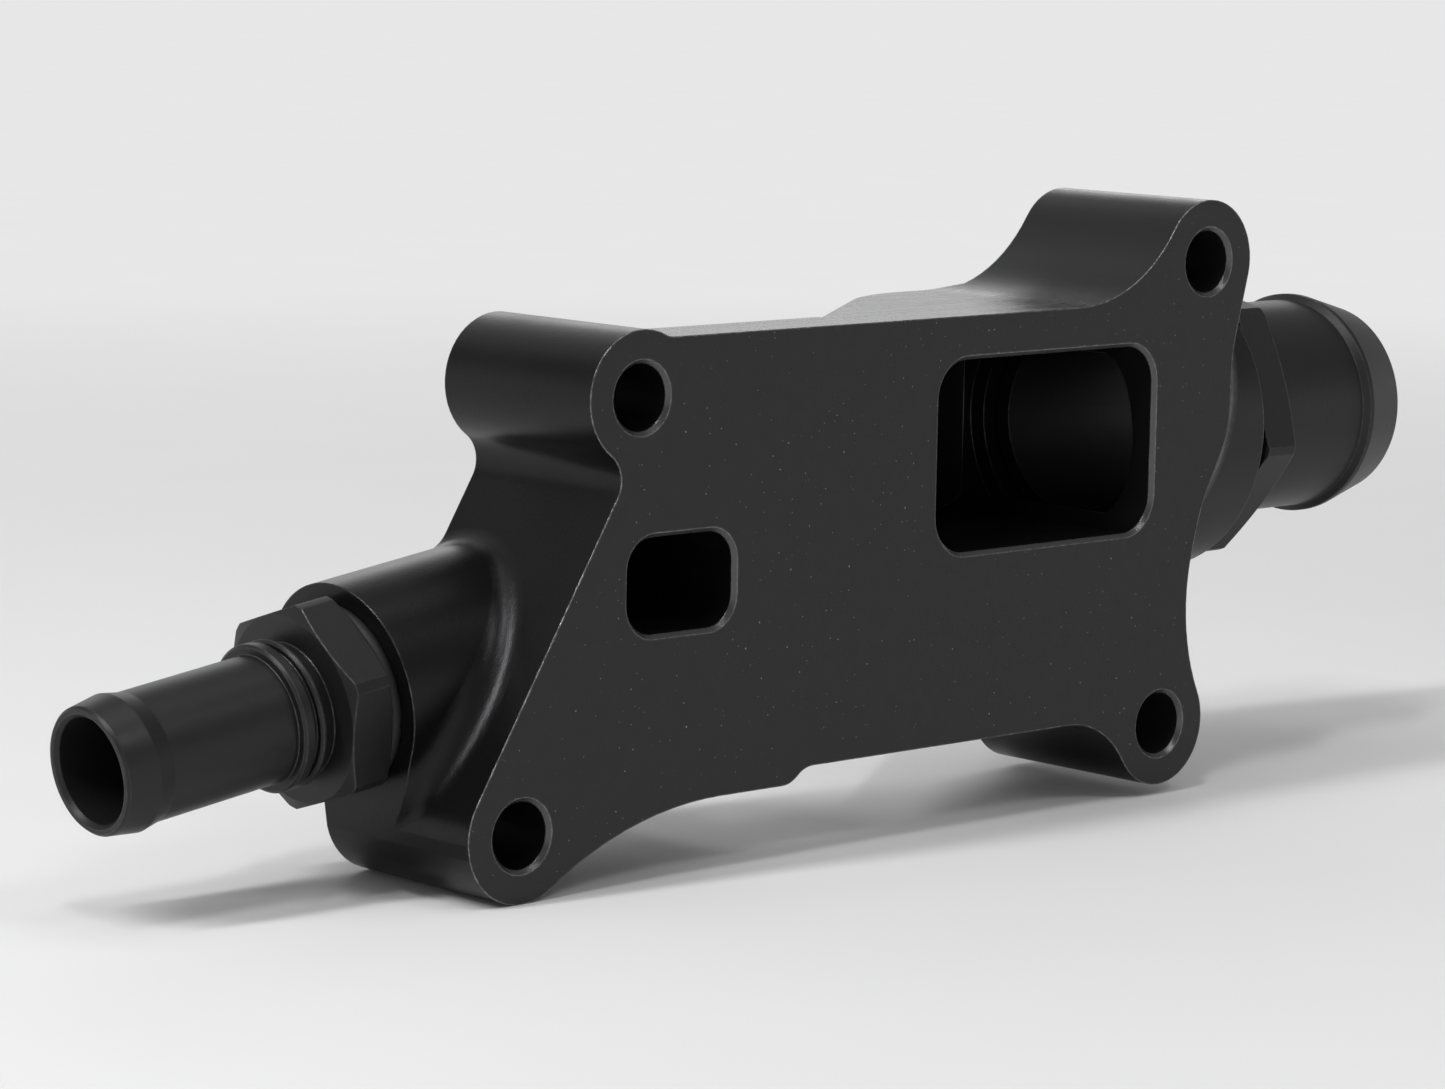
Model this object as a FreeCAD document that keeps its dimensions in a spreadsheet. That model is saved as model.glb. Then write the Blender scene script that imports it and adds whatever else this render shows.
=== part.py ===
import FreeCAD, Part
import Sketcher
import math
import os

doc = FreeCAD.newDocument("coolant_flange")
V = FreeCAD.Vector

# Driving sizes, mm and degrees. X runs along the flange, Y from the mating face to the rear, Z up.
SIZES = [
    ("boss_radius", "9"),
    ("bolt_hole_radius", "4.5"),
    ("top_left_x", "-48"),
    ("top_left_z", "24.2"),
    ("bottom_left_x", "-67.7"),
    ("bottom_left_z", "-31.5"),
    ("top_right_x", "61.8"),
    ("top_right_z", "37.3"),
    ("bottom_right_x", "54.1"),
    ("bottom_right_z", "-29.9"),
    ("top_edge_z", "31.95"),
    ("bottom_edge_z", "-28.1"),
    ("low_edge_z", "-30.3"),
    ("step_x", "-15.9"),
    ("step_curve", "4.2"),
    ("top_left_curve", "3"),
    ("top_right_curve", "23.6"),
    ("right_curve", "31"),
    ("bottom_right_curve", "13.7"),
    ("bottom_left_curve", "55.7"),
    ("notch_curve", "4.2"),
    ("right_lean", "14.6"),
    ("left_lean", "31.5"),
    ("flange_depth", "29.6"),
    ("plate_depth", "10"),
    ("overcut", "1"),
    ("front_allowance", "=3 * boss_root_fillet"),
    ("relief_top_z", "=large_rim_x"),
    ("relief_foot_z", "=-large_rim_x"),
    ("rear_allowance", "=large_boss_radius + boss_radius"),
    ("large_axis_y", "23.4"),
    ("large_axis_z", "11.8"),
    ("large_boss_radius", "23"),
    ("large_boss_inner_x", "48"),
    ("passage_radius", "22"),
    ("large_rim_x", "76"),
    ("boss_root_fillet", "4"),
    ("small_axis_x", "-40.1"),
    ("small_axis_y", "23.2"),
    ("small_axis_z", "-9.2"),
    ("small_axis_drop", "8.21"),
    ("small_boss_radius", "14.9"),
    ("small_boss_inner", "5"),
    ("small_rim", "39.45"),
    ("small_stock", "=2 * small_rim - 2 * small_boss_inner"),
    ("rim_trim_low", "-27"),
    ("trim_reach", "=large_rim_x"),
    ("large_trim_x", "-14"),
    ("small_trim", "-26"),
    ("relief_left_x", "-44"),
    ("relief_step_top_z", "17.4"),
    ("relief_step_low_z", "10.2"),
    ("relief_low_left_x", "-23.5"),
    ("relief_right_x", "-6"),
    ("relief_low_right_x", "36"),
    ("relief_low_top_z", "-12.8"),
    ("relief_corner", "5"),
    ("slant_angle", "37.2"),
    ("slant_wall", "5"),
    ("slant_reach", "=large_rim_x - relief_right_x"),
    ("slant_blend", "8"),
    ("port_wide", "43.6"),
    ("port_tall", "27"),
    ("port_x", "29.06"),
    ("port_z", "12.27"),
    ("port_corner", "5.4"),
    ("port_wall", "2.5"),
    ("port_reach", "=port_z + port_tall / 2 - large_axis_z"),
    ("port_depth", "=large_axis_y + sqrt((passage_radius - port_wall) ^ 2 - port_reach ^ 2)"),
    ("side_port_wide", "18.6"),
    ("side_port_tall", "12.95"),
    ("side_port_x", "-40.45"),
    ("side_port_z", "-0.85"),
    ("side_port_corner", "4.3"),
    ("side_port_depth", "24"),
    ("large_cavity_radius", "19.4"),
    ("large_cavity_end_x", "57"),
    ("passage_overlap", "1.3"),
    ("large_cavity_length", "=large_cavity_end_x - port_x - port_wide / 2 + passage_overlap"),
    ("large_thread_radius", "16.7"),
    ("small_cavity_radius", "9.6"),
    ("small_cavity_start", "=small_axis_x - side_port_x - side_port_wide / 2"),
    ("small_thread_radius", "11.1"),
    ("small_thread_start", "21"),
    ("large_seat", "1.2"),
    ("small_seat", "1.2"),
    ("thread_clearance", "0.1"),
    ("axis_line", "0"),
    ("large_shank_end", "-17"),
    ("large_shank_lead", "-16"),
    ("large_shank_tip", "15.6"),
    ("large_shank", "=large_thread_radius - thread_clearance"),
    ("large_neck_start", "-2.4"),
    ("large_neck", "15.6"),
    ("large_hex_back", "2.8"),
    ("large_hex_front", "9.9"),
    ("large_hex_across", "38.1"),
    ("large_hex_turn", "10.1"),
    ("large_hex_round", "21.65"),
    ("large_hex_back_face", "21.1"),
    ("large_hex_back_bevel", "=large_hex_back + 0.3"),
    ("large_hex_front_face", "18.9"),
    ("large_hex_front_bevel", "=large_hex_front - 1.1"),
    ("large_hex_clear", "24"),
    ("large_barrel", "16"),
    ("large_bead_foot", "30.7"),
    ("large_bead_back", "31.5"),
    ("large_bead_top", "32.3"),
    ("large_bead", "16.9"),
    ("large_nose_end", "40.6"),
    ("large_nose", "14.65"),
    ("large_mouth", "14.2"),
    ("large_mouth_depth", "=large_nose_end - 0.9"),
    ("large_bore", "13.4"),
    ("large_ring", "1.5"),
    ("large_ring_x", "=large_hex_back - large_ring"),
    ("large_ring_radius", "=large_neck + large_ring"),
    ("small_shank_end", "-15"),
    ("small_shank_lead", "-14.2"),
    ("small_shank_tip", "10.2"),
    ("small_shank", "=small_thread_radius - thread_clearance"),
    ("small_neck_start", "-2"),
    ("small_neck", "10"),
    ("small_hex_back", "1.85"),
    ("small_hex_front", "8.25"),
    ("small_hex_across", "25.4"),
    ("small_hex_turn", "17.9"),
    ("small_hex_round", "14.25"),
    ("small_hex_back_face", "12.9"),
    ("small_hex_back_bevel", "=small_hex_back + 0.6"),
    ("small_hex_front_face", "12.6"),
    ("small_hex_front_bevel", "=small_hex_front - 0.6"),
    ("small_hex_clear", "17"),
    ("small_collar_neck", "8.9"),
    ("small_collar", "9.9"),
    ("small_collar_one", "9.95"),
    ("small_collar_one_end", "11.05"),
    ("small_collar_two", "11.8"),
    ("small_collar_two_end", "13.75"),
    ("small_collar_edge", "0.35"),
    ("small_barrel", "8.57"),
    ("small_bead_foot", "33.4"),
    ("small_bead_top", "36"),
    ("small_bead", "9.1"),
    ("small_nose_end", "40.55"),
    ("small_nose_edge", "=small_nose_end - 0.4"),
    ("small_nose", "8.45"),
    ("small_nose_lip", "8.1"),
    ("small_mouth", "7.53"),
    ("small_mouth_depth", "=small_nose_end - 0.6"),
    ("small_bore", "7"),
    ("small_ring", "1.2"),
    ("small_ring_x", "=small_hex_back - small_ring"),
    ("small_ring_radius", "=small_neck + small_ring"),
    ("bolt_seat", "7"),
    ("mouth_chamfer", "0.6"),
    ("rim_chamfer", "0.4"),
]

dims = doc.addObject("Spreadsheet::Sheet", "Dims")
for row, (name, text) in enumerate(SIZES, start=1):
    dims.set("A%d" % row, name)
    dims.setAlias("B%d" % row, name)
for row, (name, text) in enumerate(SIZES, start=1):
    dims.set("B%d" % row, text)
doc.recompute()


def val(name):
    return float(getattr(dims, name))


def plane(body, role):
    for feature in body.Origin.OriginFeatures:
        if feature.Role == role:
            return feature


def new_body(name):
    body = doc.addObject("PartDesign::Body", name)
    body.Label = name
    return body


def new_sketch(body, name, role):
    sketch = body.newObject("Sketcher::SketchObject", name)
    sketch.AttachmentSupport = [(plane(body, role), "")]
    sketch.MapMode = "FlatFace"
    return sketch


def bind(sketch, kind, parts, start, text):
    index = sketch.addConstraint(Sketcher.Constraint(kind, *parts, start))
    sketch.setExpression("Constraints[%d]" % index, text)
    return index


def pin(sketch, geo, point, across, up):
    for kind, name in (("DistanceX", across), ("DistanceY", up)):
        bind(sketch, kind, (-1, 1, geo, point), val(name), "Dims." + name)


def angle_of(vector):
    return math.atan2(vector.y, vector.x)


def arc(sketch, centre, radius, first, last):
    while last < first:
        last += 2 * math.pi
    circle = Part.Circle(centre, V(0, 0, 1), radius)
    return sketch.addGeometry(Part.ArcOfCircle(circle, first, last), False)


def line(sketch, first, last):
    return sketch.addGeometry(Part.LineSegment(first, last), False)


def polygon(sketch, corners):
    count = len(corners)
    for i in range(count):
        line(sketch, corners[i], corners[(i + 1) % count])
    for i in range(count):
        sketch.addConstraint(Sketcher.Constraint("Coincident", i, 2, (i + 1) % count, 1))


def named_polygon(sketch, names):
    polygon(sketch, [V(val(a), val(b), 0) for a, b in names])
    for i, (a, b) in enumerate(names):
        pin(sketch, i, 1, a, b)


def circle_at(sketch, across, up, radius):
    geo = sketch.addGeometry(
        Part.Circle(V(val(across), val(up), 0), V(0, 0, 1), val(radius)), False)
    pin(sketch, geo, 3, across, up)
    bind(sketch, "Radius", (geo,), val(radius), "Dims." + radius)
    return geo


def nearest_ends(sketch, first, second):
    pairs = [(a, b) for a in (1, 2) for b in (1, 2)]
    gaps = [sketch.getPoint(first, a).distanceToPoint(sketch.getPoint(second, b)) for a, b in pairs]
    return pairs[gaps.index(min(gaps))]


# Housing outline
housing = new_body("housing")
outline = new_sketch(housing, "Outline", "XZ_Plane")
outline.AttachmentOffset = FreeCAD.Placement(V(0, 0, val("front_allowance")), FreeCAD.Rotation())
outline.setExpression("AttachmentOffset.Base.z", "Dims.front_allowance")

boss = val("boss_radius")
top_left = V(val("top_left_x"), val("top_left_z"), 0)
bottom_left = V(val("bottom_left_x"), val("bottom_left_z"), 0)
top_right = V(val("top_right_x"), val("top_right_z"), 0)
bottom_right = V(val("bottom_right_x"), val("bottom_right_z"), 0)


def beside(hole, level, radius, side, towards):
    centre = V(hole.x, level + side * radius, 0)
    reach = math.sqrt((boss + radius) ** 2 - (centre.y - hole.y) ** 2)
    return V(hole.x + towards * reach, centre.y, 0)


def along_lean(hole, other, normal, way, radius):
    foot = hole + normal * (boss + radius)
    gap = foot - other
    half = gap.dot(way)
    return foot + way * (-half - math.sqrt(half ** 2 - gap.dot(gap) + (boss + radius) ** 2))


right_lean = math.radians(val("right_lean"))
left_lean = math.radians(val("left_lean"))
right_normal = V(math.cos(right_lean), -math.sin(right_lean), 0)
right_down = V(-math.sin(right_lean), -math.cos(right_lean), 0)
left_normal = V(-math.cos(left_lean), math.sin(left_lean), 0)
left_up = V(math.sin(left_lean), math.cos(left_lean), 0)

top_left_c = beside(top_left, val("top_edge_z"), val("top_left_curve"), 1, 1)
top_right_c = beside(top_right, val("top_edge_z"), val("top_right_curve"), 1, -1)
bottom_right_c = beside(bottom_right, val("bottom_edge_z"), val("bottom_right_curve"), -1, -1)
bottom_left_c = beside(bottom_left, val("low_edge_z"), val("bottom_left_curve"), -1, 1)
right_c = along_lean(top_right, bottom_right, right_normal, right_down, val("right_curve"))
notch_c = along_lean(bottom_left, top_left, left_normal, left_up, val("notch_curve"))
step = val("step_curve")
step_fall = 2 * step - (val("bottom_edge_z") - val("low_edge_z"))
step_out = V(val("step_x"), val("bottom_edge_z") - step, 0)
step_in = step_out + V(-math.sqrt((2 * step) ** 2 - step_fall ** 2), step_fall, 0)
right_top = top_right + right_normal * boss
right_low = right_c - right_normal * val("right_curve")
left_low = bottom_left + left_normal * boss
left_top = notch_c - left_normal * val("notch_curve")

quarter = math.pi / 2
arc(outline, top_left, boss, angle_of(top_left_c - top_left), angle_of(notch_c - top_left))
arc(outline, top_left_c, val("top_left_curve"), angle_of(top_left - top_left_c), -quarter)
line(outline, V(top_left_c.x, val("top_edge_z"), 0), V(top_right_c.x, val("top_edge_z"), 0))
arc(outline, top_right_c, val("top_right_curve"), -quarter, angle_of(top_right - top_right_c))
arc(outline, top_right, boss, angle_of(right_normal), angle_of(top_right_c - top_right))
line(outline, right_low, right_top)
arc(outline, right_c, val("right_curve"), angle_of(right_normal * -1), angle_of(bottom_right - right_c))
arc(outline, bottom_right, boss, angle_of(bottom_right_c - bottom_right), angle_of(right_c - bottom_right))
arc(outline, bottom_right_c, val("bottom_right_curve"), angle_of(bottom_right - bottom_right_c), quarter)
line(outline, V(step_out.x, val("bottom_edge_z"), 0), V(bottom_right_c.x, val("bottom_edge_z"), 0))
arc(outline, step_out, step, quarter, angle_of(step_in - step_out))
arc(outline, step_in, step, -quarter, angle_of(step_out - step_in))
line(outline, V(bottom_left_c.x, val("low_edge_z"), 0), V(step_in.x, val("low_edge_z"), 0))
arc(outline, bottom_left_c, val("bottom_left_curve"), quarter, angle_of(bottom_left - bottom_left_c))
arc(outline, bottom_left, boss, angle_of(left_normal), angle_of(bottom_left_c - bottom_left))
line(outline, left_low, left_top)
arc(outline, notch_c, val("notch_curve"), angle_of(left_normal * -1), angle_of(top_left - notch_c))

count = len(outline.Geometry)
for i in range(count):
    after = (i + 1) % count
    first, second = nearest_ends(outline, i, after)
    outline.addConstraint(Sketcher.Constraint("Tangent", i, first, after, second))
pin(outline, 0, 3, "top_left_x", "top_left_z")
pin(outline, 4, 3, "top_right_x", "top_right_z")
pin(outline, 7, 3, "bottom_right_x", "bottom_right_z")
pin(outline, 14, 3, "bottom_left_x", "bottom_left_z")
bind(outline, "Radius", (0,), boss, "Dims.boss_radius")
for other in (4, 7, 14):
    outline.addConstraint(Sketcher.Constraint("Equal", 0, other))
for geo, name in (
    (1, "top_left_curve"), (3, "top_right_curve"), (6, "right_curve"), (8, "bottom_right_curve"),
    (10, "step_curve"), (13, "bottom_left_curve"), (16, "notch_curve"),
):
    bind(outline, "Radius", (geo,), val(name), "Dims." + name)
outline.addConstraint(Sketcher.Constraint("Equal", 10, 11))
for geo, name in ((2, "top_edge_z"), (9, "bottom_edge_z"), (12, "low_edge_z")):
    outline.addConstraint(Sketcher.Constraint("Horizontal", geo))
    bind(outline, "DistanceY", (-1, 1, geo, 1), val(name), "Dims." + name)
bind(outline, "Angle", (5,), quarter - right_lean, "(90 - Dims.right_lean) * 1deg")
bind(outline, "Angle", (15,), quarter - left_lean, "(90 - Dims.left_lean) * 1deg")
bind(outline, "DistanceX", (-1, 1, 10, 3), val("step_x"), "Dims.step_x")


def pad(body, name, sketch, length, text, reverse):
    feature = body.newObject("PartDesign::Pad", name)
    feature.Profile = (sketch, [""])
    feature.Length = length
    feature.setExpression("Length", text)
    feature.Reversed = reverse
    doc.recompute()
    return feature


blank = pad(housing, "Blank", outline,
            val("front_allowance") + val("flange_depth") + val("rear_allowance"),
            "Dims.front_allowance + Dims.flange_depth + Dims.rear_allowance", True)


def cut(body, name, sketch, length, text, reverse):
    feature = body.newObject("PartDesign::Pocket", name)
    feature.Profile = (sketch, [""])
    feature.Length = length
    feature.setExpression("Length", text)
    feature.Reversed = reverse
    doc.recompute()
    return feature


def is_cylinder(face, radius):
    return isinstance(face.Surface, Part.Cylinder) and abs(face.Surface.Radius - radius) < 1e-4


def is_plane(face, normal):
    return isinstance(face.Surface, Part.Plane) and face.Surface.Axis.cross(normal).Length < 1e-4


def wall_normal(flat):
    return V(flat.x, 0, flat.y)


def shared_edges(shape, first, second):
    found = []
    for i, edge in enumerate(shape.Edges, start=1):
        faces = shape.ancestorsOfType(edge, Part.Face)
        if len(faces) != 2:
            continue
        a, b = faces
        if (first(a) and second(b)) or (first(b) and second(a)):
            found.append("Edge%d" % i)
    return found


def fillet(body, name, edges, radius, text):
    feature = body.newObject("PartDesign::Fillet", name)
    feature.Base = (feature.BaseFeature, edges)
    feature.Radius = radius
    feature.setExpression("Radius", text)
    doc.recompute()
    return feature


# Round hose bosses, flared into the side walls
large_circle = new_sketch(housing, "LargeBossCircle", "YZ_Plane")
large_circle.setExpression("AttachmentOffset.Base.z", "Dims.large_boss_inner_x")
circle_at(large_circle, "large_axis_y", "large_axis_z", "large_boss_radius")
pad(housing, "LargeBoss", large_circle, val("large_rim_x") - val("large_boss_inner_x"),
    "Dims.large_rim_x - Dims.large_boss_inner_x", False)
fillet(housing, "LargeBossRoot", shared_edges(
    housing.Tip.Shape,
    lambda face: is_cylinder(face, val("large_boss_radius")),
    lambda face: is_plane(face, wall_normal(right_normal)) or is_cylinder(face, val("right_curve"))),
    val("boss_root_fillet"), "Dims.boss_root_fillet")


def tilted_sketch(name, offset, text):
    sketch = new_sketch(housing, name, "YZ_Plane")
    drop = math.radians(val("small_axis_drop"))
    sketch.AttachmentOffset = FreeCAD.Placement(
        V(val("small_axis_y"), val("small_axis_z") - offset * math.sin(drop),
          val("small_axis_x") - offset * math.cos(drop)),
        FreeCAD.Rotation(V(1, 0, 0), -val("small_axis_drop")))
    sketch.setExpression("AttachmentOffset.Base.x", "Dims.small_axis_y")
    sketch.setExpression("AttachmentOffset.Base.y",
                         "Dims.small_axis_z - (%s) * sin(Dims.small_axis_drop * 1deg)" % text)
    sketch.setExpression("AttachmentOffset.Base.z",
                         "Dims.small_axis_x - (%s) * cos(Dims.small_axis_drop * 1deg)" % text)
    sketch.setExpression("AttachmentOffset.Rotation.Angle", "Dims.small_axis_drop * -1deg")
    return sketch


small_circle = tilted_sketch("SmallBossCircle", val("small_boss_inner"), "Dims.small_boss_inner")
ring = small_circle.addGeometry(
    Part.Circle(V(0, 0, 0), V(0, 0, 1), val("small_boss_radius")), False)
small_circle.addConstraint(Sketcher.Constraint("Coincident", ring, 3, -1, 1))
bind(small_circle, "Radius", (ring,), val("small_boss_radius"), "Dims.small_boss_radius")
pad(housing, "SmallBoss", small_circle, val("small_stock"), "Dims.small_stock", True)
fillet(housing, "SmallBossRoot", shared_edges(
    housing.Tip.Shape,
    lambda face: is_cylinder(face, val("small_boss_radius")),
    lambda face: is_plane(face, wall_normal(left_normal)) or is_cylinder(face, boss)),
    val("boss_root_fillet"), "Dims.boss_root_fillet")
rim_trim = tilted_sketch("SmallRimPlan", val("small_rim"), "Dims.small_rim")
RIM = [(-1, "rim_trim_low"), (1, "rim_trim_low"), (1, "trim_reach"), (-1, "trim_reach")]
polygon(rim_trim, [V(a * val("trim_reach"), val(b), 0) for a, b in RIM])
for i, (a, b) in enumerate(RIM):
    bind(rim_trim, "DistanceX", (-1, 1, i, 1), a * val("trim_reach"), "%d * Dims.trim_reach" % a)
    bind(rim_trim, "DistanceY", (-1, 1, i, 1), val(b), "Dims." + b)
cut(housing, "SmallRimTrim", rim_trim, val("small_stock"), "Dims.small_stock", False)

# Mating face and rear face; the round passages stand proud of the rear face
front = new_sketch(housing, "FrontTrimPlan", "XZ_Plane")
reach = val("trim_reach")
FRONT = [(-1, -1), (1, -1), (1, 1), (-1, 1)]
polygon(front, [V(a * 2 * reach, b * reach, 0) for a, b in FRONT])
for i, (a, b) in enumerate(FRONT):
    bind(front, "DistanceX", (-1, 1, i, 1), a * 2 * reach, "%d * Dims.trim_reach" % (2 * a))
    bind(front, "DistanceY", (-1, 1, i, 1), b * reach, "%d * Dims.trim_reach" % b)
cut(housing, "FrontTrim", front, val("front_allowance") + val("overcut"),
    "Dims.front_allowance + Dims.overcut", True)


def passage_trim(sketch, radius, axis_y):
    size = val(radius)
    back = val("flange_depth") - val(axis_y)
    turn = math.acos(back / size)
    high = size * math.sin(turn)
    corners = [V(back, -high, 0), V(back, -reach, 0), V(reach, -reach, 0),
               V(reach, reach, 0), V(back, reach, 0), V(back, high, 0)]
    for first, last in zip(corners, corners[1:]):
        line(sketch, first, last)
    arc(sketch, V(0, 0, 0), size, -turn, turn)
    for i in range(4):
        sketch.addConstraint(Sketcher.Constraint("Coincident", i, 2, i + 1, 1))
    sketch.addConstraint(Sketcher.Constraint("Coincident", 4, 2, 5, 2))
    sketch.addConstraint(Sketcher.Constraint("Coincident", 0, 1, 5, 1))
    for i in (0, 2, 4):
        sketch.addConstraint(Sketcher.Constraint("Vertical", i))
    for i in (1, 3):
        sketch.addConstraint(Sketcher.Constraint("Horizontal", i))
    sketch.addConstraint(Sketcher.Constraint("Coincident", 5, 3, -1, 1))
    bind(sketch, "Radius", (5,), size, "Dims." + radius)
    text = "Dims.flange_depth - Dims." + axis_y
    bind(sketch, "DistanceX", (-1, 1, 0, 1), back, text)
    bind(sketch, "DistanceX", (-1, 1, 4, 1), back, text)
    bind(sketch, "DistanceX", (-1, 1, 2, 1), reach, "Dims.trim_reach")
    bind(sketch, "DistanceY", (-1, 1, 2, 2), reach, "Dims.trim_reach")
    bind(sketch, "DistanceY", (2, 1, -1, 1), reach, "Dims.trim_reach")


for name, place, radius, length, text in (
    ("PassageTrim", "large_trim_x", "passage_radius", val("large_boss_inner_x") - val("large_trim_x"),
     "Dims.large_boss_inner_x - Dims.large_trim_x"),
    ("LargeRearTrim", "large_boss_inner_x", "large_boss_radius", 2 * reach, "2 * Dims.trim_reach"),
):
    large_trim = new_sketch(housing, name + "Plan", "YZ_Plane")
    large_trim.setExpression("AttachmentOffset.Base.x", "Dims.large_axis_y")
    large_trim.setExpression("AttachmentOffset.Base.y", "Dims.large_axis_z")
    large_trim.setExpression("AttachmentOffset.Base.z", "Dims." + place)
    passage_trim(large_trim, radius, "large_axis_y")
    cut(housing, name, large_trim, length, text, True)
small_trim = tilted_sketch("SmallTrimPlan", val("small_trim"), "Dims.small_trim")
passage_trim(small_trim, "small_boss_radius", "small_axis_y")
cut(housing, "SmallRearTrim", small_trim, 2 * reach, "2 * Dims.trim_reach", False)

# Rear relief that leaves the plate
rear_faces = val("flange_depth") + val("rear_allowance")
relief = new_sketch(housing, "ReliefPlan", "XZ_Plane")
relief.setExpression("AttachmentOffset.Base.z", "-Dims.plate_depth")
RELIEF = [
    ("relief_low_left_x", "relief_step_low_z"),
    ("relief_low_left_x", "relief_foot_z"),
    ("relief_low_right_x", "relief_foot_z"),
    ("relief_low_right_x", "relief_low_top_z"),
    ("relief_right_x", "relief_low_top_z"),
    ("relief_right_x", "relief_top_z"),
    ("relief_left_x", "relief_top_z"),
]
spots = [V(val(a), val(b), 0) for a, b in RELIEF]
column_top = V(val("relief_left_x"),
               top_left.y + math.sqrt(boss ** 2 - (val("relief_left_x") - top_left.x) ** 2), 0)
column_low = V(top_left.x + math.sqrt(boss ** 2 - (val("relief_step_top_z") - top_left.y) ** 2),
               val("relief_step_top_z"), 0)
for first, last in zip(spots, spots[1:]):
    line(relief, first, last)
for i in range(len(spots) - 2):
    relief.addConstraint(Sketcher.Constraint("Coincident", i, 2, i + 1, 1))
last_line = line(relief, spots[-1], column_top)
column = arc(relief, top_left, boss, angle_of(column_low - top_left), angle_of(column_top - top_left))
step_line = line(relief, column_low, spots[0])
relief.addConstraint(Sketcher.Constraint("Coincident", last_line - 1, 2, last_line, 1))
relief.addConstraint(Sketcher.Constraint("Coincident", last_line, 2, column, 2))
relief.addConstraint(Sketcher.Constraint("Coincident", column, 1, step_line, 1))
relief.addConstraint(Sketcher.Constraint("Coincident", step_line, 2, 0, 1))
relief.addConstraint(Sketcher.Constraint("Vertical", last_line))
pin(relief, column, 3, "top_left_x", "top_left_z")
bind(relief, "Radius", (column,), boss, "Dims.boss_radius")
bind(relief, "DistanceY", (-1, 1, step_line, 1), column_low.y, "Dims.relief_step_top_z")
for i, (a, b) in enumerate(RELIEF):
    pin(relief, i, 1, a, b)
cut(housing, "Relief", relief, rear_faces, "Dims.flange_depth + Dims.rear_allowance", False)


def edges_at(shape, test):
    return ["Edge%d" % i for i, edge in enumerate(shape.Edges, start=1) if test(edge)]


def is_upright(edge):
    return (isinstance(edge.Curve, Part.Line) and abs(edge.Curve.Direction.y) > 0.999
            and edge.BoundBox.YLength > val("overcut"))


def at_relief_corner(edge):
    corners = (column_low, spots[0], spots[3], spots[4])
    middle = edge.BoundBox.Center
    return is_upright(edge) and any(
        math.hypot(middle.x - spot.x, middle.z - spot.y) < 0.01 for spot in corners)


fillet(housing, "ReliefCorners", edges_at(housing.Tip.Shape, at_relief_corner),
       val("relief_corner"), "Dims.relief_corner")


# Ports in the mating face
def rounded_port(sketch, wide, tall, across, up, corner):
    half_x = val(wide) / 2
    half_z = val(tall) / 2
    size = val(corner)
    middle = V(val(across), val(up), 0)
    for i, (sx, sz) in enumerate([(1, 1), (-1, 1), (-1, -1), (1, -1)]):
        centre = middle + V(sx * (half_x - size), sz * (half_z - size), 0)
        arc(sketch, centre, size, i * quarter, (i + 1) * quarter)
    starts = [sketch.Geometry[i].EndPoint for i in range(4)]
    ends = [sketch.Geometry[(i + 1) % 4].StartPoint for i in range(4)]
    for first, last in zip(starts, ends):
        line(sketch, first, last)
    for i in range(4):
        sketch.addConstraint(Sketcher.Constraint("Tangent", i, 2, i + 4, 1))
        sketch.addConstraint(Sketcher.Constraint("Tangent", i + 4, 2, (i + 1) % 4, 1))
    for i in (1, 2, 3):
        sketch.addConstraint(Sketcher.Constraint("Equal", 0, i))
    bind(sketch, "Radius", (0,), size, "Dims." + corner)
    for i in (4, 6):
        sketch.addConstraint(Sketcher.Constraint("Horizontal", i))
        sketch.addConstraint(Sketcher.Constraint("Vertical", i + 1))
    for kind, first, last, name, place in (
        ("DistanceX", 5, 7, wide, across), ("DistanceY", 6, 4, tall, up),
    ):
        half = val(name) / 2
        bind(sketch, kind, (-1, 1, first, 1), val(place) - half, "Dims.%s - Dims.%s / 2" % (place, name))
        bind(sketch, kind, (-1, 1, last, 1), val(place) + half, "Dims.%s + Dims.%s / 2" % (place, name))


main_port = new_sketch(housing, "MainPortPlan", "XZ_Plane")
rounded_port(main_port, "port_wide", "port_tall", "port_x", "port_z", "port_corner")
cut(housing, "MainPort", main_port, val("port_depth"), "Dims.port_depth", False)
side_port = new_sketch(housing, "SidePortPlan", "XZ_Plane")
rounded_port(side_port, "side_port_wide", "side_port_tall", "side_port_x", "side_port_z",
             "side_port_corner")
cut(housing, "SidePort", side_port, val("side_port_depth"), "Dims.side_port_depth", False)

# Slanted floor of the main port and the slanted back that follows it
floor = new_sketch(housing, "PortFloorPlan", "XY_Plane")
floor.setExpression("AttachmentOffset.Base.z", "Dims.port_z - Dims.port_tall / 2 - Dims.overcut")
rise = math.tan(math.radians(val("slant_angle")))
floor_left = val("port_x") - val("port_wide") / 2 - val("overcut")
floor_low = (val("plate_depth") + (floor_left - val("relief_right_x")) * rise
             - val("slant_wall") / math.cos(math.radians(val("slant_angle"))))
floor_high = val("port_depth") + val("overcut")
polygon(floor, [V(floor_left, floor_low, 0),
                V(floor_left + (floor_high - floor_low) / rise, floor_high, 0),
                V(floor_left, floor_high, 0)])
floor.addConstraint(Sketcher.Constraint("Vertical", 2))
floor.addConstraint(Sketcher.Constraint("Horizontal", 1))
bind(floor, "DistanceX", (-1, 1, 0, 1), floor_left, "Dims.port_x - Dims.port_wide / 2 - Dims.overcut")
bind(floor, "DistanceY", (-1, 1, 0, 1), floor_low,
     "Dims.plate_depth + (Dims.port_x - Dims.port_wide / 2 - Dims.overcut - Dims.relief_right_x)"
     " * tan(Dims.slant_angle * 1deg) - Dims.slant_wall / cos(Dims.slant_angle * 1deg)")
bind(floor, "DistanceY", (-1, 1, 2, 1), floor_high, "Dims.port_depth + Dims.overcut")
bind(floor, "Angle", (0,), math.atan(rise), "Dims.slant_angle * 1deg")
pad(housing, "PortFloor", floor, val("port_tall") + 2 * val("overcut"),
    "Dims.port_tall + 2 * Dims.overcut", False)

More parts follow.
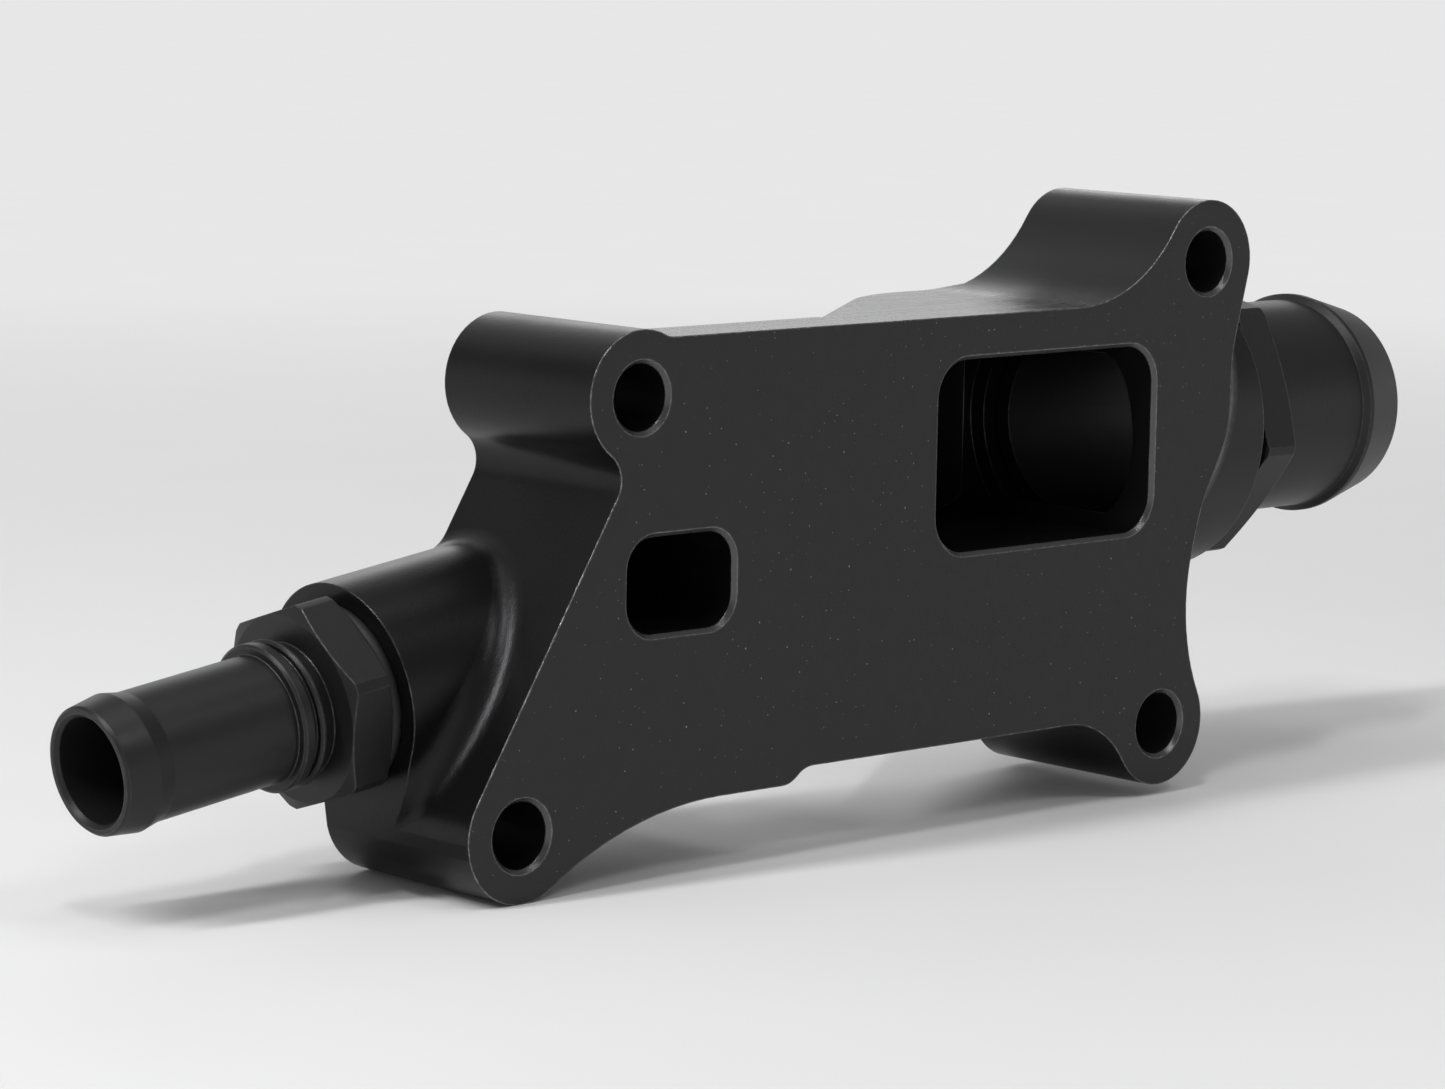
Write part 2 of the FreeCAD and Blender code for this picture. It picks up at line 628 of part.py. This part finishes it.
slant = new_sketch(housing, "SlantPlan", "XY_Plane")
slant.setExpression("AttachmentOffset.Base.z", "Dims.relief_low_top_z - Dims.overcut")
slant_low = V(val("relief_right_x") - val("overcut"), val("plate_depth") - rise * val("overcut"), 0)
slant_far = slant_low + V(val("slant_reach"), rise * val("slant_reach"), 0)
polygon(slant, [slant_low, slant_far, V(slant_low.x, slant_far.y, 0)])
slant.addConstraint(Sketcher.Constraint("Vertical", 2))
slant.addConstraint(Sketcher.Constraint("Horizontal", 1))
bind(slant, "DistanceX", (-1, 1, 0, 1), slant_low.x, "Dims.relief_right_x - Dims.overcut")
bind(slant, "DistanceY", (-1, 1, 0, 1), slant_low.y,
     "Dims.plate_depth - Dims.overcut * tan(Dims.slant_angle * 1deg)")
bind(slant, "DistanceX", (0, 1, 0, 2), val("slant_reach"), "Dims.slant_reach")
bind(slant, "Angle", (0,), math.atan(rise), "Dims.slant_angle * 1deg")
cut(housing, "SlantedBack", slant, val("slant_reach"), "Dims.slant_reach", True)
fillet(housing, "SlantedBackBlend", shared_edges(
    housing.Tip.Shape,
    lambda face: is_cylinder(face, val("passage_radius")),
    lambda face: is_plane(face, V(rise, -1, 0))),
    val("slant_blend"), "Dims.slant_blend")


# Bores for the two screwed hose ends and the water passages behind them
def axis_circle(sketch, radius):
    geo = sketch.addGeometry(Part.Circle(V(0, 0, 0), V(0, 0, 1), val(radius)), False)
    sketch.addConstraint(Sketcher.Constraint("Coincident", geo, 3, -1, 1))
    bind(sketch, "Radius", (geo,), val(radius), "Dims." + radius)


def large_axis_sketch(name, place):
    sketch = new_sketch(housing, name, "YZ_Plane")
    sketch.setExpression("AttachmentOffset.Base.x", "Dims.large_axis_y")
    sketch.setExpression("AttachmentOffset.Base.y", "Dims.large_axis_z")
    sketch.setExpression("AttachmentOffset.Base.z", "Dims." + place)
    return sketch


large_thread = large_axis_sketch("LargeThreadPlan", "large_rim_x")
axis_circle(large_thread, "large_thread_radius")
cut(housing, "LargeThread", large_thread, val("large_rim_x") - val("large_cavity_end_x"),
    "Dims.large_rim_x - Dims.large_cavity_end_x", False)
large_cavity = large_axis_sketch("LargeCavityPlan", "large_cavity_end_x")
axis_circle(large_cavity, "large_cavity_radius")
cut(housing, "LargeCavity", large_cavity, val("large_cavity_length"), "Dims.large_cavity_length", False)
small_thread = tilted_sketch("SmallThreadPlan", val("small_rim"), "Dims.small_rim")
axis_circle(small_thread, "small_thread_radius")
cut(housing, "SmallThread", small_thread, val("small_rim") - val("small_thread_start"),
    "Dims.small_rim - Dims.small_thread_start", True)
small_cavity = tilted_sketch("SmallCavityPlan", val("small_thread_start"), "Dims.small_thread_start")
axis_circle(small_cavity, "small_cavity_radius")
cut(housing, "SmallCavity", small_cavity, val("small_thread_start") - val("small_cavity_start"),
    "Dims.small_thread_start - Dims.small_cavity_start", True)

# Four bolt holes, and flat seats for the two bolt heads that stand close to a hose boss
bolts = new_sketch(housing, "BoltHolePlan", "XZ_Plane")
for corner in ("top_left", "top_right", "bottom_right", "bottom_left"):
    circle_at(bolts, corner + "_x", corner + "_z", "bolt_hole_radius")
cut(housing, "BoltHoles", bolts, rear_faces, "Dims.flange_depth + Dims.rear_allowance", False)
seats = new_sketch(housing, "BoltSeatPlan", "XZ_Plane")
seats.setExpression("AttachmentOffset.Base.z", "-Dims.flange_depth")
for corner in ("top_right", "bottom_left"):
    circle_at(seats, corner + "_x", corner + "_z", "bolt_seat")
cut(housing, "BoltSeats", seats, val("rear_allowance"), "Dims.rear_allowance", False)


def is_round(edge, radius):
    return isinstance(edge.Curve, Part.Circle) and abs(edge.Curve.Radius - radius) < 1e-4


def chamfer(body, name, test, size):
    feature = body.newObject("PartDesign::Chamfer", name)
    feature.Base = (feature.BaseFeature, edges_at(feature.BaseFeature.Shape, test))
    feature.Size = val(size)
    feature.setExpression("Size", "Dims." + size)
    doc.recompute()


# Ring seats, broken edges of the rims, ports and bolt holes
chamfer(housing, "LargeSeat", lambda edge: is_round(edge, val("large_thread_radius"))
        and abs(edge.BoundBox.XMin - val("large_rim_x")) < 0.01, "large_seat")
chamfer(housing, "SmallSeat", lambda edge: is_round(edge, val("small_thread_radius"))
        and edge.BoundBox.XMin < val("bottom_left_x"), "small_seat")
chamfer(housing, "LargeRimEdge", lambda edge: is_round(edge, val("large_boss_radius"))
        and abs(edge.BoundBox.XMin - val("large_rim_x")) < 0.01, "rim_chamfer")
front_wires = [wire for face in housing.Tip.Shape.Faces for wire in face.Wires[1:]
               if is_plane(face, V(0, 1, 0)) and abs(face.BoundBox.YMax) < 0.01]
mouths = [edge.BoundBox.Center for wire in front_wires for edge in wire.Edges]
chamfer(housing, "MouthEdges", lambda edge: any(
    edge.BoundBox.Center.distanceToPoint(spot) < 0.01 for spot in mouths), "mouth_chamfer")

# Screwed hose ends: turned blank, hexagon, bevelled hexagon corners
def turned(body, name, corners, cutting):
    sketch = new_sketch(body, name + "Profile", "XY_Plane")
    named_polygon(sketch, corners)
    kind = "PartDesign::Groove" if cutting else "PartDesign::Revolution"
    feature = body.newObject(kind, name)
    feature.Profile = (sketch, [""])
    feature.ReferenceAxis = (sketch, ["H_Axis"])
    feature.Angle = 360
    doc.recompute()
    return feature


def hexagon(body, name, size):
    sketch = new_sketch(body, name + "Plan", "YZ_Plane")
    sketch.setExpression("AttachmentOffset.Base.z", "Dims.%s_hex_back" % size)
    across = val(size + "_hex_across") / 2
    corner = across / math.cos(math.pi / 6)
    turn = math.radians(val(size + "_hex_turn"))
    points = [V(-corner * math.cos(turn + i * math.pi / 3), -corner * math.sin(turn + i * math.pi / 3), 0)
              for i in range(6)]
    polygon(sketch, points)
    spoke = sketch.addGeometry(Part.LineSegment(V(0, 0, 0), points[0]), True)
    around = sketch.addGeometry(Part.Circle(V(0, 0, 0), V(0, 0, 1), corner), True)
    sketch.addConstraint(Sketcher.Constraint("Coincident", spoke, 1, -1, 1))
    sketch.addConstraint(Sketcher.Constraint("Coincident", spoke, 2, 0, 1))
    sketch.addConstraint(Sketcher.Constraint("Coincident", around, 3, -1, 1))
    for i in range(6):
        sketch.addConstraint(Sketcher.Constraint("PointOnObject", i, 1, around))
    for i in range(1, 6):
        sketch.addConstraint(Sketcher.Constraint("Equal", 0, i))
    bind(sketch, "Radius", (around,), corner, "Dims.%s_hex_across / 2 / cos(30deg)" % size)
    bind(sketch, "Angle", (spoke,), math.pi + turn, "(180 + Dims.%s_hex_turn) * 1deg" % size)
    pad(body, name, sketch, val(size + "_hex_front") - val(size + "_hex_back"),
        "Dims.%s_hex_front - Dims.%s_hex_back" % (size, size), False)
    turned(body, name + "Bevel", [
        (size + "_hex_back", size + "_hex_back_face"),
        (size + "_hex_back_bevel", size + "_hex_round"),
        (size + "_hex_front_bevel", size + "_hex_round"),
        (size + "_hex_front", size + "_hex_front_face"),
        (size + "_hex_front", size + "_hex_clear"),
        (size + "_hex_back", size + "_hex_clear"),
    ], True)


def waterway(body, size):
    turned(body, "Waterway", [
        (size + "_shank_end", "axis_line"),
        (size + "_shank_end", size + "_bore"),
        (size + "_mouth_depth", size + "_bore"),
        (size + "_nose_end", size + "_mouth"),
        (size + "_nose_end", "axis_line"),
    ], True)


large_end = new_body("large_hose_fitting")
turned(large_end, "Barrel", [
    ("large_shank_end", "axis_line"),
    ("large_shank_end", "large_shank_tip"),
    ("large_shank_lead", "large_shank"),
    ("large_neck_start", "large_shank"),
    ("large_neck_start", "large_neck"),
    ("large_hex_back", "large_neck"),
    ("large_hex_back", "large_barrel"),
    ("large_bead_foot", "large_barrel"),
    ("large_bead_back", "large_bead"),
    ("large_bead_top", "large_bead"),
    ("large_nose_end", "large_nose"),
    ("large_nose_end", "axis_line"),
], False)
hexagon(large_end, "Hexagon", "large")
waterway(large_end, "large")

small_end = new_body("small_hose_fitting")
turned(small_end, "Barrel", [
    ("small_shank_end", "axis_line"),
    ("small_shank_end", "small_shank_tip"),
    ("small_shank_lead", "small_shank"),
    ("small_neck_start", "small_shank"),
    ("small_neck_start", "small_neck"),
    ("small_hex_back", "small_neck"),
    ("small_hex_front", "small_neck"),
    ("small_hex_front", "small_collar_neck"),
    ("small_collar_one", "small_collar_neck"),
    ("small_collar_one", "small_collar"),
    ("small_collar_one_end", "small_collar"),
    ("small_collar_one_end", "small_collar_neck"),
    ("small_collar_two", "small_collar_neck"),
    ("small_collar_two", "small_collar"),
    ("small_collar_two_end", "small_collar"),
    ("small_collar_two_end", "small_barrel"),
    ("small_bead_foot", "small_barrel"),
    ("small_bead_top", "small_bead"),
    ("small_nose_edge", "small_nose"),
    ("small_nose_end", "small_nose_lip"),
    ("small_nose_end", "axis_line"),
], False)
hexagon(small_end, "Hexagon", "small")
waterway(small_end, "small")
chamfer(small_end, "CollarEdges", lambda edge: is_round(edge, val("small_collar")), "small_collar_edge")


# Rubber rings between boss and hexagon
def ring_body(name, size):
    body = new_body(name)
    sketch = new_sketch(body, "Section", "XY_Plane")
    circle_at(sketch, size + "_ring_x", size + "_ring_radius", size + "_ring")
    feature = body.newObject("PartDesign::Revolution", "Ring")
    feature.Profile = (sketch, [""])
    feature.ReferenceAxis = (sketch, ["H_Axis"])
    feature.Angle = 360
    doc.recompute()
    return body


large_ring = ring_body("large_fitting_o_ring", "large")
small_ring = ring_body("small_fitting_o_ring", "small")

# Each hose end and its ring sit on the axis of their boss, measured from its rim
for body in (large_end, large_ring):
    body.setExpression("Placement.Base.x", "Dims.large_rim_x")
    body.setExpression("Placement.Base.y", "Dims.large_axis_y")
    body.setExpression("Placement.Base.z", "Dims.large_axis_z")
for body in (small_end, small_ring):
    turned_over = FreeCAD.Rotation(V(0, 1, 0), 180 - val("small_axis_drop"))
    body.Placement = FreeCAD.Placement(V(0, 0, 0), turned_over)
    body.setExpression("Placement.Base.x",
                       "Dims.small_axis_x - Dims.small_rim * cos(Dims.small_axis_drop * 1deg)")
    body.setExpression("Placement.Base.y", "Dims.small_axis_y")
    body.setExpression("Placement.Base.z",
                       "Dims.small_axis_z - Dims.small_rim * sin(Dims.small_axis_drop * 1deg)")
    body.setExpression("Placement.Rotation.Angle", "(180 - Dims.small_axis_drop) * 1deg")

doc.recompute()
for item in doc.Objects:
    if "Invalid" in item.State or "Error" in item.State:
        raise SystemExit("failed: " + item.Name)
bodies = (housing, small_end, small_ring, large_end, large_ring)
for body in bodies:
    if body.Shape.isNull() or not body.Shape.isValid() or len(body.Shape.Solids) != 1:
        raise SystemExit("not one sound solid: " + body.Label)
os.makedirs("parts", exist_ok=True)
for body in bodies:
    body.Shape.exportStep("parts/%s.step" % body.Label)
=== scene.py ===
import math

import bpy
from mathutils import Matrix, Vector


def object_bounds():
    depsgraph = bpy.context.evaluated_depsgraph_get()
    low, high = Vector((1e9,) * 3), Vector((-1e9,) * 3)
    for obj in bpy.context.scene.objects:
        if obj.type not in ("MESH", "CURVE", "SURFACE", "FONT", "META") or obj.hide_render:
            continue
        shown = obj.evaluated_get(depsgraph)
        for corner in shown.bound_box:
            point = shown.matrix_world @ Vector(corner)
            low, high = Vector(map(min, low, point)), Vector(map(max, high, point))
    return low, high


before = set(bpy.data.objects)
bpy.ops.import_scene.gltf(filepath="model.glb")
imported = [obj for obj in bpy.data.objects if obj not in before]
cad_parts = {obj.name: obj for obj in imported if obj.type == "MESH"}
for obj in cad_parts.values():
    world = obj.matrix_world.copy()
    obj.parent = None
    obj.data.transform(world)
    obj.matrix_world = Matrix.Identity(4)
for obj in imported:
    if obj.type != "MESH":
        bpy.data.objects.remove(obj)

MM = 0.001
PHOTO_WIDE = 1445
FOCAL_PIXELS = 4812.0
TOP_Z = 31.95 * MM
EDGE = 0.35 * MM


def as_lists(box):
    return [[float(v) for v in corner] for corner in box]


cad_box = as_lists(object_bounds())
floor_z = cad_box[0][2]


# Camera solved from the photograph
def look_axes(azimuth, elevation, roll):
    a, e, r = (math.radians(v) for v in (azimuth, elevation, roll))
    ahead = Vector((-math.sin(a) * math.cos(e), math.cos(a) * math.cos(e), -math.sin(e)))
    level = Vector((math.cos(a), math.sin(a), 0.0))
    above = level.cross(ahead)
    return (level * math.cos(r) + above * math.sin(r),
            above * math.cos(r) - level * math.sin(r), ahead)


camera_data = bpy.data.cameras.new("camera")
camera_data.sensor_fit = "HORIZONTAL"
camera_data.sensor_width = 36.0
camera_data.lens = FOCAL_PIXELS / PHOTO_WIDE * camera_data.sensor_width
camera_data.clip_start = 0.01
camera = bpy.data.objects.new("camera", camera_data)
bpy.context.scene.collection.objects.link(camera)
right, up, ahead = look_axes(-42.76, 8.01, 1.00)
turn = Matrix((right, up, -ahead)).transposed().to_4x4()
camera.matrix_world = Matrix.Translation(Vector((-463.1, -464.7, 92.8)) * MM) @ turn
bpy.context.scene.camera = camera


# Node helpers
class Graph:
    def __init__(self, tree):
        self.tree = tree
        self.tree.nodes.clear()

    def add(self, kind, **settings):
        node = self.tree.nodes.new(kind)
        for name, value in settings.items():
            setattr(node, name, value)
        return node

    def join(self, source, target):
        self.tree.links.new(source, target)

    def value(self, socket, source):
        if hasattr(source, "node"):
            self.join(source, socket)
        else:
            socket.default_value = source

    def sum(self, operation, first, second=0.0, clamp=False):
        node = self.add("ShaderNodeMath", operation=operation, use_clamp=clamp)
        self.value(node.inputs[0], first)
        self.value(node.inputs[1], second)
        return node.outputs[0]

    def ramp(self, source, low, high, out_low=0.0, out_high=1.0):
        node = self.add("ShaderNodeMapRange", clamp=True)
        self.value(node.inputs["Value"], source)
        for end, value in (("From Min", low), ("From Max", high),
                           ("To Min", out_low), ("To Max", out_high)):
            node.inputs[end].default_value = value
        return node.outputs["Result"]

    def mix(self, factor, first, second):
        node = self.add("ShaderNodeMix", data_type="RGBA")
        self.value(node.inputs[0], factor)
        self.value(node.inputs[6], first)
        self.value(node.inputs[7], second)
        return node.outputs[2]

    def noise(self, place, scale, detail=2.0, roughness=0.5):
        node = self.add("ShaderNodeTexNoise")
        self.join(place, node.inputs["Vector"])
        node.inputs["Scale"].default_value = scale
        node.inputs["Detail"].default_value = detail
        node.inputs["Roughness"].default_value = roughness
        return node.outputs["Fac"]

    def blend(self, factor, first, second):
        node = self.add("ShaderNodeMix", data_type="FLOAT")
        self.value(node.inputs[0], factor)
        self.value(node.inputs[2], first)
        self.value(node.inputs[3], second)
        return node.outputs[0]

    def stretch(self, place, factors):
        node = self.add("ShaderNodeVectorMath", operation="MULTIPLY")
        self.join(place, node.inputs[0])
        node.inputs[1].default_value = factors
        return node.outputs[0]

    def split(self, vector):
        node = self.add("ShaderNodeSeparateXYZ")
        self.join(vector, node.inputs[0])
        return node.outputs

    def bump(self, height, distance, strength, normal=None):
        node = self.add("ShaderNodeBump")
        node.inputs["Distance"].default_value = distance
        node.inputs["Strength"].default_value = strength
        self.join(height, node.inputs["Height"])
        if normal is not None:
            self.join(normal, node.inputs["Normal"])
        return node.outputs[0]


def new_material(name):
    material = bpy.data.materials.new(name)
    material.use_nodes = True
    graph = Graph(material.node_tree)
    shader = graph.add("ShaderNodeBsdfPrincipled")
    output = graph.add("ShaderNodeOutputMaterial")
    graph.join(shader.outputs[0], output.inputs[0])
    return material, graph, shader


# Satin black anodising over a fine blasted surface, pale along the edges as wear and as a painted edge
# highlight.
# Milled faces are smoother: the mating face with fine bright specks, the top face with cutter streaks,
# and the broken edges of the holes and ports, paler as bare chamfers and partly as a painted highlight.
def anodised(name, milled, lathe):
    material, graph, shader = new_material(name)
    place = graph.add("ShaderNodeTexCoord").outputs["Object"]
    normal = graph.add("ShaderNodeNewGeometry").outputs["Normal"]
    soft = graph.add("ShaderNodeBevel", samples=6)
    soft.inputs["Radius"].default_value = EDGE
    agree = graph.add("ShaderNodeVectorMath", operation="DOT_PRODUCT")
    graph.join(normal, agree.inputs[0])
    graph.join(soft.outputs[0], agree.inputs[1])
    edge = graph.ramp(agree.outputs["Value"], 0.99, 0.88)
    grain = graph.noise(place, 3600.0, 2.0, 0.6)
    cloud = graph.noise(place, 60.0, 3.0, 0.5)
    scratch = graph.noise(place, 900.0, 4.0, 0.7)
    # edge wear, made paler also as a painted edge highlight
    wear_and_highlight = graph.sum("MULTIPLY", edge, graph.ramp(scratch, 0.42, 0.62, 0.3, 1.0), True)
    base = graph.mix(cloud, (0.014, 0.014, 0.015, 1), (0.019, 0.019, 0.020, 1))
    rough = graph.ramp(cloud, 0.3, 0.7, 0.27, 0.33)
    metal = 0.7
    height = grain
    if milled:
        across, deep, high = graph.split(place)[0], graph.split(place)[1], graph.split(place)[2]
        facing, upward = graph.split(normal)[1], graph.split(normal)[2]
        turned = graph.ramp(across, 47.0 * MM, 50.0 * MM)
        base = graph.mix(turned, base, (0.030, 0.030, 0.031, 1))
        front = graph.ramp(deep, 0.3 * MM, 0.1 * MM)
        # the pale edge, wear and painted highlight, is kept mostly to the front outline
        wear_and_highlight = graph.sum("MULTIPLY", wear_and_highlight, graph.ramp(deep, 0.4 * MM, 0.8 * MM, 1.0, 0.25))
        flat = graph.sum("MULTIPLY", graph.ramp(facing, -0.98, -0.995), front)
        speck = graph.ramp(graph.noise(place, 2100.0, 1.0, 0.4), 0.745, 0.77)
        dust = graph.mix(graph.sum("MULTIPLY", speck, 0.5),
                         (0.036, 0.036, 0.037, 1), (0.4, 0.4, 0.4, 1))
        base = graph.mix(flat, base, dust)
        rough = graph.blend(flat, rough, graph.ramp(graph.noise(place, 400.0), 0.3, 0.7, 0.40, 0.48))
        # chamfers of holes and ports: glossier, with a pale colour that is partly a painted highlight
        slope = graph.sum("MULTIPLY", graph.ramp(facing, -0.97, -0.90), graph.ramp(facing, -0.45, -0.55))
        broken = graph.sum("MULTIPLY", slope, graph.ramp(deep, 0.9 * MM, 0.7 * MM))
        base = graph.mix(graph.sum("MULTIPLY", broken, 0.7), base, (0.13, 0.13, 0.134, 1))
        rough = graph.blend(broken, rough, 0.24)
        level = graph.sum("MULTIPLY", graph.ramp(upward, 0.98, 0.995),
                          graph.ramp(across, -43 * MM, -41 * MM))
        top = graph.sum("MULTIPLY", level, graph.ramp(high, TOP_Z - 0.3 * MM, TOP_Z))
        streak = graph.noise(graph.stretch(place, (25.0, 900.0, 1.0)), 1.0, 3.0, 0.6)
        rough = graph.blend(top, rough, graph.ramp(streak, 0.35, 0.65, 0.20, 0.34))
        base = graph.mix(top, base, graph.mix(streak, (0.05, 0.05, 0.05, 1), (0.14, 0.14, 0.144, 1)))
        metal = graph.blend(top, metal, 1.0)
    if lathe:
        base = graph.mix(cloud, (0.028, 0.028, 0.029, 1), (0.036, 0.036, 0.037, 1))
        rough = graph.ramp(cloud, 0.3, 0.7, 0.36, 0.44)
        rings = graph.noise(graph.stretch(place, (9000.0, 60.0, 60.0)), 1.0, 2.0, 0.5)
        height = graph.sum("ADD", graph.sum("MULTIPLY", grain, 0.35), graph.sum("MULTIPLY", rings, 0.65))
    # pale edge colour: wear and a painted edge highlight
    paler = 0.40 if milled else 0.12
    base = graph.mix(wear_and_highlight, base, (paler, paler, paler, 1))
    graph.join(base, shader.inputs["Base Color"])
    graph.join(rough, shader.inputs["Roughness"])
    graph.value(shader.inputs["Metallic"], metal)
    shader.inputs["IOR"].default_value = 1.35
    graph.join(graph.bump(height, 0.05 * MM, 0.55, soft.outputs[0]), shader.inputs["Normal"])
    return material


def rubber(name):
    material, graph, shader = new_material(name)
    place = graph.add("ShaderNodeTexCoord").outputs["Object"]
    cloud = graph.noise(place, 300.0, 3.0, 0.6)
    base = graph.mix(cloud, (0.010, 0.010, 0.010, 1), (0.018, 0.018, 0.019, 1))
    graph.join(base, shader.inputs["Base Color"])
    graph.join(graph.ramp(cloud, 0.3, 0.7, 0.55, 0.7), shader.inputs["Roughness"])
    graph.join(graph.bump(graph.noise(place, 3000.0), 0.02 * MM, 0.4), shader.inputs["Normal"])
    return material


housing_black = anodised("anodised_housing", True, False)
fitting_black = anodised("anodised_fitting", False, True)
seal_black = rubber("seal_rubber")
FINISHES = {
    "housing": housing_black,
    "large_hose_fitting": fitting_black,
    "small_hose_fitting": fitting_black,
    "large_fitting_o_ring": seal_black,
    "small_fitting_o_ring": seal_black,
}
for node, finish in FINISHES.items():
    for slot in bpy.data.objects[node].material_slots:
        slot.material = finish


# Pale floor and soft studio light
floor_mesh = bpy.data.meshes.new("floor")
reach = 9.0
floor_mesh.from_pydata(
    [(-reach, -reach, floor_z), (reach, -reach, floor_z),
     (reach, reach, floor_z), (-reach, reach, floor_z)],
    [], [(0, 1, 2, 3)])
floor = bpy.data.objects.new("floor", floor_mesh)
bpy.context.scene.collection.objects.link(floor)
floor_material, floor_graph, floor_shader = new_material("floor")
floor_place = floor_graph.add("ShaderNodeTexCoord").outputs["Object"]
paper = floor_graph.mix(floor_graph.noise(floor_place, 30.0, 3.0),
                        (0.79, 0.79, 0.79, 1), (0.81, 0.81, 0.81, 1))
floor_graph.join(paper, floor_shader.inputs["Base Color"])
floor_shader.inputs["Roughness"].default_value = 0.8
glow = floor_graph.add("ShaderNodeEmission")
floor_graph.join(paper, glow.inputs["Color"])
distance = floor_graph.add("ShaderNodeVectorMath", operation="LENGTH")
floor_graph.join(floor_place, distance.inputs[0])
far = floor_graph.ramp(distance.outputs["Value"], 0.25, 0.85)
path = floor_graph.add("ShaderNodeLightPath")
seen = floor_graph.sum("MAXIMUM", path.outputs["Is Camera Ray"], floor_graph.sum(
    "MAXIMUM", path.outputs["Is Glossy Ray"], path.outputs["Is Transmission Ray"]))
backdrop = floor_graph.add("ShaderNodeMixShader")
floor_graph.join(floor_graph.sum("MULTIPLY", far, seen), backdrop.inputs[0])
floor_graph.join(floor_shader.outputs[0], backdrop.inputs[1])
floor_graph.join(glow.outputs[0], backdrop.inputs[2])
floor_graph.join(backdrop.outputs[0], floor_material.node_tree.nodes["Material Output"].inputs[0])
floor_mesh.materials.append(floor_material)

world = bpy.data.worlds.new("studio")
bpy.context.scene.world = world
world.use_nodes = True
sky = Graph(world.node_tree)
sky_shader = sky.add("ShaderNodeBackground")
height = sky.split(sky.add("ShaderNodeTexCoord").outputs["Generated"])[2]
sky.join(sky.mix(sky.ramp(height, 0.12, 0.35), (0.8, 0.8, 0.8, 1), (0.28, 0.28, 0.28, 1)),
         sky_shader.inputs["Color"])
sky.join(sky_shader.outputs[0], sky.add("ShaderNodeOutputWorld").inputs[0])


def area_light(name, place, target, size, watts):
    data = bpy.data.lights.new(name, "AREA")
    data.shape = "RECTANGLE"
    data.size, data.size_y = size
    data.energy = watts
    lamp = bpy.data.objects.new(name, data)
    lamp.location = place
    lamp.visible_camera = False
    lamp.rotation_euler = (Vector(target) - Vector(place)).to_track_quat("-Z", "Y").to_euler()
    bpy.context.scene.collection.objects.link(lamp)


area_light("top_light", (0.1, 0.1, 1.0), (0, 0, 0), (0.8, 0.35), 1.2)
area_light("back_light", (0.62, 0.85, 0.42), (0, 0, 0), (0.8, 0.3), 1.1)
area_light("rear_light", (0.0, 0.9, 0.75), (0, 0, 0), (0.9, 0.5), 0.5)
area_light("left_light", (-0.68, 0.1, 0.72), (-0.06, 0, 0), (0.09, 0.5), 4.7)
area_light("upper_light", (-0.34, -0.2, 0.92), (-0.06, 0, 0), (0.05, 0.3), 1.8)
area_light("high_light", (0.1, -0.6, 0.78), (-0.02, 0, 0), (0.3, 0.2), 1.1)

bpy.context.scene.view_settings.view_transform = "Standard"
